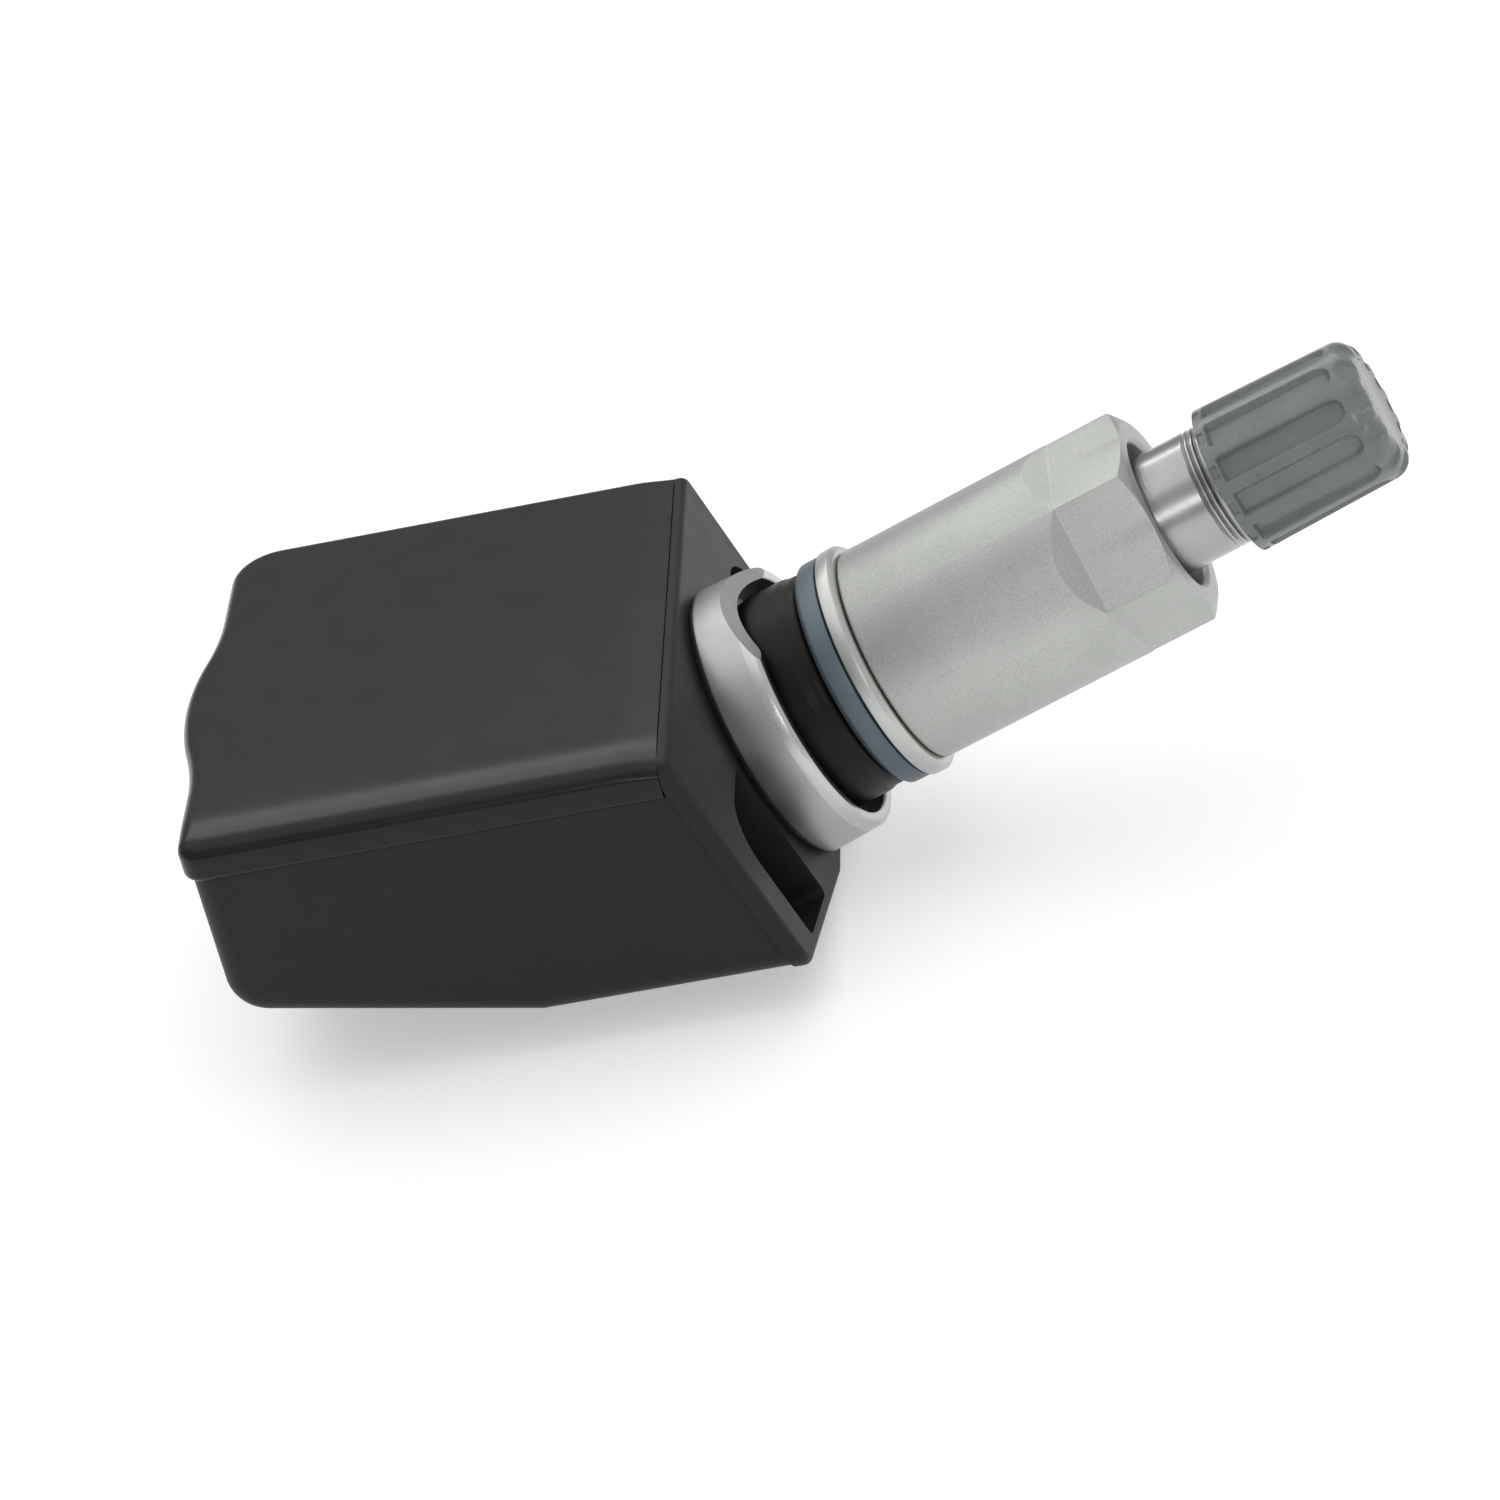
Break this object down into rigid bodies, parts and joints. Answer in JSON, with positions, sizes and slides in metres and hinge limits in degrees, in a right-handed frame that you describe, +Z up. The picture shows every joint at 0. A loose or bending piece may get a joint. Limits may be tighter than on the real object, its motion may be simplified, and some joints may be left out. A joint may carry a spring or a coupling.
{
  "type": "tyre pressure sensor",
  "caption": "Clamp-in tyre pressure sensor: a boxy sealed housing with a lid, and an angled metal valve with grommet, rings, long sleeve nut and ribbed cap.",
  "frame": {"origin": "on the flat strip of the underside, under the point where the valve's middle plane meets the lid's end", "axes": "+X along the body towards the valve, +Y across the body, +Z up, square to the lid"},
  "size_m": [0.0757, 0.0356, 0.0271],
  "materials": {
    "body_plastic": "dark grey moulded plastic, lightly grained",
    "lid_plastic": "dark grey moulded plastic, satin",
    "board": "green lacquered laminate",
    "cell_steel": "nickel-plated steel can",
    "tab_steel": "nickel strip",
    "chip_black": "black moulding compound",
    "crystal_can": "plated can",
    "ferrite": "dark grey ferrite",
    "copper": "enamelled copper wire",
    "antenna_brass": "sprung brass strip",
    "screw_steel": "zinc-plated steel",
    "valve_aluminium": "turned aluminium, satin anodised",
    "grommet_rubber": "black rubber, dull",
    "blue_ring": "blue-grey anodised aluminium",
    "washer_aluminium": "turned aluminium",
    "nut_aluminium": "turned aluminium, fine grain",
    "cap_plastic": "smoke-grey translucent plastic",
    "seal_rubber": "black rubber",
    "core_brass": "plated brass",
    "spring_steel": "spring wire"
  },
  "bodies": {
    "sensor": {"housing": "body_plastic", "lid": "lid_plastic", "circuit_board": "board", "battery_cell": "cell_steel", "battery_tab_top": "tab_steel", "battery_tab_bottom": "tab_steel", "pressure_chip": "chip_black", "port_seal": "seal_rubber", "radio_chip": "chip_black", "crystal": "crystal_can", "coil_core": "ferrite", "wake_coil": "copper", "loop_antenna": "antenna_brass", "stem_screw": "screw_steel", "valve_stem": "valve_aluminium", "grommet": "grommet_rubber", "spacer_ring": "blue_ring", "core_body": "core_brass", "core_barrel": "core_brass", "core_barrel_seal": "seal_rubber", "core_spring": "spring_steel"},
    "washer": {"washer": "washer_aluminium"},
    "nut": {"sleeve_nut": "nut_aluminium"},
    "cap_seal": {"cap_seal": "seal_rubber"},
    "cap": {"cap": "cap_plastic"},
    "core_pin": {"core_pin": "core_brass", "core_plug": "seal_rubber"}
  },
  "joints": [
    {"name": "washer_slide", "type": "slide", "parent": "sensor", "child": "washer", "axis": [0.9444, 0, 0.3289], "range_m": [0, 0.0035]},
    {"name": "nut_turn", "type": "hinge", "parent": "washer", "child": "nut", "pos_m": [0.02117, 0, 0.01541], "axis": [0.9444, 0, 0.3289], "range_deg": [0, 1261]},
    {"name": "cap_seal_slide", "type": "slide", "parent": "sensor", "child": "cap_seal", "axis": [0.9444, 0, 0.3289], "range_m": [0, 0.0095]},
    {"name": "cap_turn", "type": "hinge", "parent": "cap_seal", "child": "cap", "pos_m": [0.03911, 0, 0.02166], "axis": [0.9444, 0, 0.3289], "range_deg": [0, 4309]},
    {"name": "pin_press", "type": "slide", "parent": "sensor", "child": "core_pin", "axis": [-0.9444, 0, -0.3289], "range_m": [0, 0.0012], "stiffness_N_per_m": 400, "springref_m": -0.002, "deforming": ["core_spring"]}
  ],
  "couplings": [
    {"joint": "nut_turn", "follows": "washer_slide", "rad_per_m": 6283.2},
    {"joint": "cap_turn", "follows": "cap_seal_slide", "rad_per_m": 7913.3}
  ]
}
